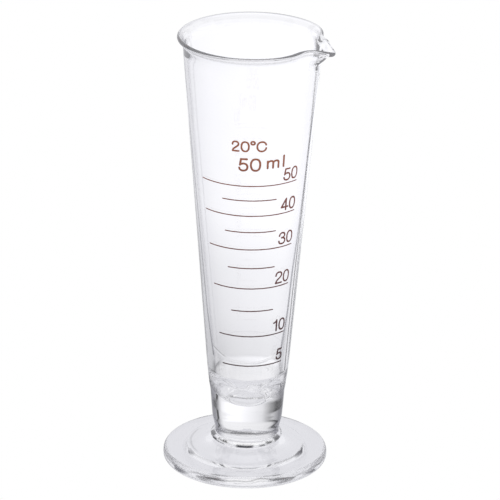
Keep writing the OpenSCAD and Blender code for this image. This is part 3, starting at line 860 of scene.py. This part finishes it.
def distance(px, py, path):
    best = np.full(px.shape, 1e9)
    path = np.asarray(path, float)
    for (x0, y0), (x1, y1) in zip(path[:-1], path[1:]):
        dx, dy = x1 - x0, y1 - y0
        L = dx * dx + dy * dy
        if L < 1e-12:
            continue
        t = np.clip(((px - x0) * dx + (py - y0) * dy) / L, 0, 1)
        best = np.minimum(best, np.hypot(px - x0 - t * dx, py - y0 - t * dy))
    return best


def print_word(name, text, az_left, z_base, height, weight, gaps, seed, widths=None, cell=0.05, lifts=None):
    """A word in raised enamel. gaps are the spaces between its characters, in cap heights."""
    strokes, x = [], 0.0
    for i, c in enumerate(text):
        paths, adv = glyph(c)
        sx = 1.0 if widths is None else widths[i]
        sy, dy = (1.0, 0.0) if lifts is None else lifts[i]
        for p in paths:
            strokes.append(np.asarray(p, float) * [height * sx, height * sy] + [x, height * dy])
        x += adv * sx * height + (gaps[i] * height if i < len(gaps) else 0)
    half = weight / 2
    x0, x1, y0, y1 = -half - 0.1, x + half + 0.1, -half - 0.1, height * 1.05 + half + 0.1
    nx, ny = int((x1 - x0) / cell) + 2, int((y1 - y0) / cell) + 2
    gx, gy = np.meshgrid(x0 + cell * np.arange(nx), y0 + cell * np.arange(ny), indexing="ij")
    d = np.full(gx.shape, 1e9)
    for p in strokes:
        lo, hi = np.min(p, 0) - half - 0.2, np.max(p, 0) + half + 0.2
        sel = (gx >= lo[0]) & (gx <= hi[0]) & (gy >= lo[1]) & (gy <= hi[1])
        d[sel] = np.minimum(d[sel], distance(gx[sel], gy[sel], p))
    rng = np.random.default_rng(seed)
    ph = rng.uniform(0, 6.28, 6)
    edge = 0.012 * (np.sin(3.1 * gx + ph[0] + np.sin(2.3 * gy + ph[1])) + np.sin(4.7 * gy + ph[2] + np.sin(3.7 * gx + ph[3])))
    f = d - half - edge          # negative inside the enamel
    inside = f < 0
    vid, verts2 = {}, []

    def corner(i, j):
        k = (i, j)
        if k not in vid:
            vid[k] = len(verts2)
            verts2.append((gx[i, j], gy[i, j], f[i, j]))
        return vid[k]

    def cut(a, b):
        k = (a, b) if a < b else (b, a)
        if k not in vid:
            fa, fb = f[k[0]], f[k[1]]
            t = min(0.94, max(0.06, fa / (fa - fb)))
            vid[k] = len(verts2)
            verts2.append((gx[k[0]] + t * (gx[k[1]] - gx[k[0]]), gy[k[0]] + t * (gy[k[1]] - gy[k[0]]), 0.0))
        return vid[k]

    tops, rim = [], []
    any_in = inside[:-1, :-1] | inside[1:, :-1] | inside[1:, 1:] | inside[:-1, 1:]
    for i, j in zip(*np.nonzero(any_in)):
        c = [(i, j), (i + 1, j), (i + 1, j + 1), (i, j + 1)]
        poly, cuts = [], []
        for q in range(4):
            a, b = c[q], c[(q + 1) % 4]
            if inside[a]:
                poly.append(corner(*a))
            if inside[a] != inside[b]:
                v = cut(a, b)
                poly.append(v)
                cuts.append((v, bool(inside[a])))
        tops.append(poly)
        # a piece of outline runs from each cut that leaves the enamel to the next that enters it
        for q, (v, leaving) in enumerate(cuts):
            if leaving:
                rim.append((v, cuts[(q + 1) % len(cuts)][0]))
    v2 = np.array(verts2)
    depth = np.clip(-v2[:, 2] / (half * 0.85), 0, 1)
    h = 0.012 + RISE * np.sqrt(np.clip(1 - (1 - depth) ** 2, 0, 1))
    z = z_base + v2[:, 1]
    ref = cone(z_base + height / 2)
    az = az_left + np.degrees(v2[:, 0] / ref)
    topv, botv = on_cup(az, z, h), on_cup(az, z, np.full(len(z), -SINK))
    n = len(v2)
    faces = [tuple(p) for p in tops] + [tuple(n + k for k in reversed(p)) for p in tops]
    faces += [(b, a, n + a, n + b) for a, b in rim]
    return add_enamel(name, np.concatenate([topv, botv]), faces)


for i, ml in enumerate((50, 45, 40, 35, 30, 25, 20, 15, 10, 5)):
    print_line("line_%02d_ml" % ml, ml, 100 + i)


def word_width(text, height, gaps, wide):
    return sum(glyph(c)[1] for c in text) * height * wide + sum(gaps[:len(text) - 1]) * height


FIG_H, FIG_WIDE = 4.25, 1.1
for i, (text, ml) in enumerate((("50", 50), ("40", 40), ("30", 30), ("20", 20), ("10", 10), ("5", 5))):
    h = FIG_H if ml > 5 else 4.0
    gaps = [0.06, 0.06]
    z = LINES[ml] + 0.9
    right = mid_az(LINES[ml]) + deg(half_arc(ml), z)
    print_word("figure_" + text, text, right - deg(word_width(text, h, gaps, FIG_WIDE), z + h / 2), z, h, 0.62 if text in ("40", "10", "5") else 0.57, gaps,
               200 + i, [FIG_WIDE] * len(text))
print_word("temperature_mark", "20oC", -107.9, LINES[50] + 11.95, 3.85, 0.60, [0.09, 0.09, 0.11], 301,
           [1.08, 1.26, 1.07, 1.09], lifts=[(0.93, 0.03)] * 4)
print_word("capacity_mark", "50 ml", -101.9, LINES[50] + 5.3, 4.8, 0.68, [0.09, 0.04, 0.04, 0.27], 302,
           [1.12, 1.26, 1.0, 1.06, 1.0],
           lifts=[(0.92, 0.0), (0.92, 0.0), (1.0, 0.0), (0.74, 0.15), (0.85, 0.15)])

# ------------------------------------------------------------------ stage
LIGHTS = {"floor": (0.83, 0.83, 0.86), "top": 1.0}


def emission(name, build):
    m, nodes, links = new_material(name)
    out = nodes.new("ShaderNodeOutputMaterial")
    e = nodes.new("ShaderNodeEmission")
    links.new(e.outputs["Emission"], out.inputs["Surface"])
    build(nodes, links, e)
    return m


def plain_white(nodes, links, e):
    e.inputs["Color"].default_value = (1, 1, 1, 1)
    e.inputs["Strength"].default_value = 1.0


def set_visible(ob, camera, rest):
    ob.visible_camera = camera
    ob.visible_diffuse = rest
    ob.visible_glossy = rest
    ob.visible_transmission = rest
    ob.visible_shadow = False


def disc_mesh(name, r, z, mat, n=96):
    v = [(r * math.cos(2 * math.pi * i / n), r * math.sin(2 * math.pi * i / n), z) for i in range(n)]
    me = bpy.data.meshes.new(name)
    me.from_pydata(v, [], [tuple(range(n))])
    me.materials.append(mat)
    ob = bpy.data.objects.new(name, me)
    scene.collection.objects.link(ob)
    return ob


white = emission("seen_white", plain_white)
set_visible(disc_mesh("floor_seen", 3.9, -0.0002, white), True, False)

me = bpy.data.meshes.new("backdrop_seen")
rows_d, cols_d, v, f = 24, 48, [], []
for i in range(rows_d + 1):
    for j in range(cols_d):
        t, p = math.pi * i / rows_d, 2 * math.pi * j / cols_d
        v.append((4 * math.sin(t) * math.cos(p), 4 * math.sin(t) * math.sin(p), 4 * math.cos(t)))
for i in range(rows_d):
    for j in range(cols_d):
        k = (j + 1) % cols_d
        f.append((i * cols_d + j, (i + 1) * cols_d + j, (i + 1) * cols_d + k, i * cols_d + k))
me.from_pydata(v, [], f)
me.materials.append(white)
dome = bpy.data.objects.new("backdrop_seen", me)
scene.collection.objects.link(dome)
set_visible(dome, True, False)


def math_node(nodes, links, op, *vals):
    n = nodes.new("ShaderNodeMath")
    n.operation = op
    for i, v in enumerate(vals):
        if hasattr(v, "is_linked"):
            links.new(v, n.inputs[i])
        else:
            n.inputs[i].default_value = v
    return n.outputs[0]


def turn(a):
    """An azimuth in degrees as a place on a ramp that runs from -180 to 180."""
    return (a + 180) / 360


NEAR = [(-180, 0.70), (-150, 0.85), (-20, 0.85), (0, 0.50), (8, 0.16), (42, 0.12), (47, 0.17), (52, 0.36), (57, 0.70),
        (62, 0.92), (70, 1.08), (84, 1.06), (93, 0.93), (103, 0.78), (108, 0.54), (114, 0.29), (124, 0.08), (158, 0.07),
        (172, 0.45), (180, 0.70)]
FAR = [(-180, 0.74), (-90, 0.82), (-20, 0.82), (30, 0.84), (44, 0.93), (47.5, 0.95), (49, 0.05),
       (53.5, 0.05), (55.5, 0.98), (60, 1.02), (80, 0.99), (92, 0.92), (104, 0.80), (125, 0.72),
       (180, 0.74)]


def floor_light(nodes, links, e):
    """The pale floor as the glass sees it, with painted dark zones close by standing in for the studio's darker sides.
    """
    tc = nodes.new("ShaderNodeTexCoord")
    sep = nodes.new("ShaderNodeSeparateXYZ")
    links.new(tc.outputs["Object"], sep.inputs[0])
    az = math_node(nodes, links, "ARCTAN2", sep.outputs["Y"], sep.outputs["X"])
    az = remap(nodes, links, az, -math.pi, math.pi, 0.0, 1.0)
    ln = nodes.new("ShaderNodeVectorMath")
    ln.operation = "LENGTH"
    links.new(tc.outputs["Object"], ln.inputs[0])
    rad = math_node(nodes, links, "MULTIPLY", ln.outputs["Value"], 5.0)     # 0.2 m is 1

    def tone(v):
        return (v * 0.985, v * 0.985, min(v * 1.02, 1.1))

    near = ramp(nodes, links, az, [(turn(a), tone(v)) for a, v in NEAR])
    far = ramp(nodes, links, az, [(turn(a), tone(v)) for a, v in FAR])
    dim = ramp(nodes, links, rad, [(0.30, (0.82,) * 3), (0.385, (0.84,) * 3), (0.58, (0.965,) * 3), (0.77, (1.0,) * 3),
                                   (1.0, (1.13,) * 3)])
    far = mix_colour(nodes, links, 1.0, far, dim, "MULTIPLY")
    close = ramp(nodes, links, rad, [(0.18, (0.90,) * 3), (0.25, (0.94,) * 3), (0.295, (1.0,) * 3)])
    near = mix_colour(nodes, links, 1.0, near, close, "MULTIPLY")
    mild = ramp(nodes, links, rad, [(0.245, (0.72,) * 3), (0.285, (0.0,) * 3)])
    near = mix_colour(nodes, links, mild, near, (0.86, 0.86, 0.88))
    # painted light: under the foot, a pool of light painted on the floor's glow stands in for the light the solid glass
    # gathers on the side towards the window of the room
    under = ramp(nodes, links, rad, [(0.0, (0.73, 0.73, 0.76)), (0.024, (0.74, 0.74, 0.77)), (0.030, (0.80, 0.80, 0.83)),
                                     (0.056, (0.80, 0.80, 0.83)), (0.066, (0.73, 0.73, 0.76))])
    front = ramp(nodes, links, az, [(turn(-165), (0, 0, 0)), (turn(-140), (1, 1, 1)), (turn(-40), (1, 1, 1)), (turn(-15), (0, 0, 0))])
    under = mix_colour(nodes, links, front, (0.73, 0.73, 0.76), under)
    w = ramp(nodes, links, rad, [(0.14, (0, 0, 0)), (0.17, (1, 1, 1)), (0.315, (1, 1, 1)), (0.345, (0, 0, 0))])
    w0 = ramp(nodes, links, rad, [(0.135, (1, 1, 1)), (0.165, (0, 0, 0))])
    col = mix_colour(nodes, links, w, far, near)
    col = mix_colour(nodes, links, w0, col, under)
    # far out, the floor runs into the white of the backdrop
    col = mix_colour(nodes, links, remap(nodes, links, rad, 2.3, 5.0, 0.0, 1.0), col, (0.97, 0.97, 1.0))
    links.new(col, e.inputs["Color"])
    e.inputs["Strength"].default_value = 1.0


set_visible(disc_mesh("floor_light", 1.2, -0.00005, emission("floor_as_light", floor_light)), False, True)

world = bpy.data.worlds.new("studio")
scene.world = world
world.use_nodes = True
wn, wl = world.node_tree.nodes, world.node_tree.links
wn.clear()
wo = wn.new("ShaderNodeOutputWorld")
wb = wn.new("ShaderNodeBackground")
wl.new(wb.outputs["Background"], wo.inputs["Surface"])
wt = wn.new("ShaderNodeTexCoord")
ws = wn.new("ShaderNodeSeparateXYZ")
wl.new(wt.outputs["Generated"], ws.inputs[0])
up = ramp(wn, wl, remap(wn, wl, ws.outputs["Z"], -0.1, 1.0, 0.0, 1.0),
          [(0.0, (0.97, 0.97, 1.0)), (0.14, (0.96, 0.96, 0.99)), (0.25, (0.88, 0.88, 0.91)), (0.6, (0.95, 0.95, 0.97)), (1.0, (1.05, 1.05, 1.05))])
# the unlit room behind the photographer
waz = math_node(wn, wl, "ARCTAN2", ws.outputs["Y"], ws.outputs["X"])
room_az = ramp(wn, wl, remap(wn, wl, waz, -math.pi, math.pi, 0.0, 1.0),
               [(turn(-160), (0, 0, 0)), (turn(-135), (1, 1, 1)), (turn(-45), (1, 1, 1)), (turn(-20), (0, 0, 0))])
room_el = ramp(wn, wl, remap(wn, wl, ws.outputs["Z"], -0.1, 1.0, 0.0, 1.0),
               [(0.16, (0, 0, 0)), (0.24, (1, 1, 1)), (0.68, (1, 1, 1)), (0.80, (0, 0, 0))])
room = mix_colour(wn, wl, 1.0, room_az, room_el, "MULTIPLY")
up = mix_colour(wn, wl, room, up, (0.34, 0.34, 0.36))
# stands, flags and shelves at the sides of the white cove, low down
clutter = noise(wn, wl, wt.outputs["Generated"], 2.7, 0.0, 0.5)
clutter = ramp(wn, wl, clutter, [(0.49, (1, 1, 1)), (0.52, (0, 0, 0))])
low_el = ramp(wn, wl, remap(wn, wl, ws.outputs["Z"], -0.1, 1.0, 0.0, 1.0),
              [(0.12, (0, 0, 0)), (0.17, (1, 1, 1)), (0.50, (1, 1, 1)), (0.62, (0, 0, 0))])
clear_back = ramp(wn, wl, remap(wn, wl, waz, -math.pi, math.pi, 0.0, 1.0),
                  [(turn(36), (1, 1, 1)), (turn(46), (0, 0, 0)), (turn(136), (0, 0, 0)), (turn(146), (1, 1, 1))])
clutter = mix_colour(wn, wl, 1.0, clutter, clear_back, "MULTIPLY")
up = mix_colour(wn, wl, mix_colour(wn, wl, 1.0, clutter, low_el, "MULTIPLY"), up, (0.08, 0.08, 0.10))
wl.new(up, wb.inputs["Color"])
wb.inputs["Strength"].default_value = 1.0

# ------------------------------------------------------------------ camera
PHI, RHO, DIST, F = math.radians(22.061), math.radians(0.870), 1233.3, 3781.2
target = np.array([0.54, 0.0, 71.475])
back = np.array([0, -math.cos(PHI), math.sin(PHI)])
fwd = -back
right0 = np.array([1.0, 0, 0])
up0 = np.cross(right0, fwd)
r = math.cos(RHO) * right0 + math.sin(RHO) * up0
u = -math.sin(RHO) * right0 + math.cos(RHO) * up0
aim = fwd + r * (0.49 / F) + u * (5.63 / F)
aim /= np.linalg.norm(aim)
r = r - aim * (r @ aim)
r /= np.linalg.norm(r)
u = np.cross(r, aim)
place = (target + DIST * back) * MM
cam = bpy.data.objects.new("camera", bpy.data.cameras.new("camera"))
cam.data.sensor_width = 36.0
cam.data.lens = F * 36.0 / 500.0
cam.data.clip_start, cam.data.clip_end = 0.05, 20.0
cam.matrix_world = Matrix(((r[0], u[0], -aim[0], place[0]), (r[1], u[1], -aim[1], place[1]),
                           (r[2], u[2], -aim[2], place[2]), (0, 0, 0, 1)))
scene.collection.objects.link(cam)
scene.camera = cam

scene.view_settings.view_transform = "Standard"
scene.view_settings.look = "None"
scene.cycles.max_bounces = 32
scene.cycles.transmission_bounces = 32
scene.cycles.glossy_bounces = 12
scene.cycles.transparent_max_bounces = 16
scene.cycles.sample_clamp_indirect = 6.0
scene.cycles.blur_glossy = 0.0
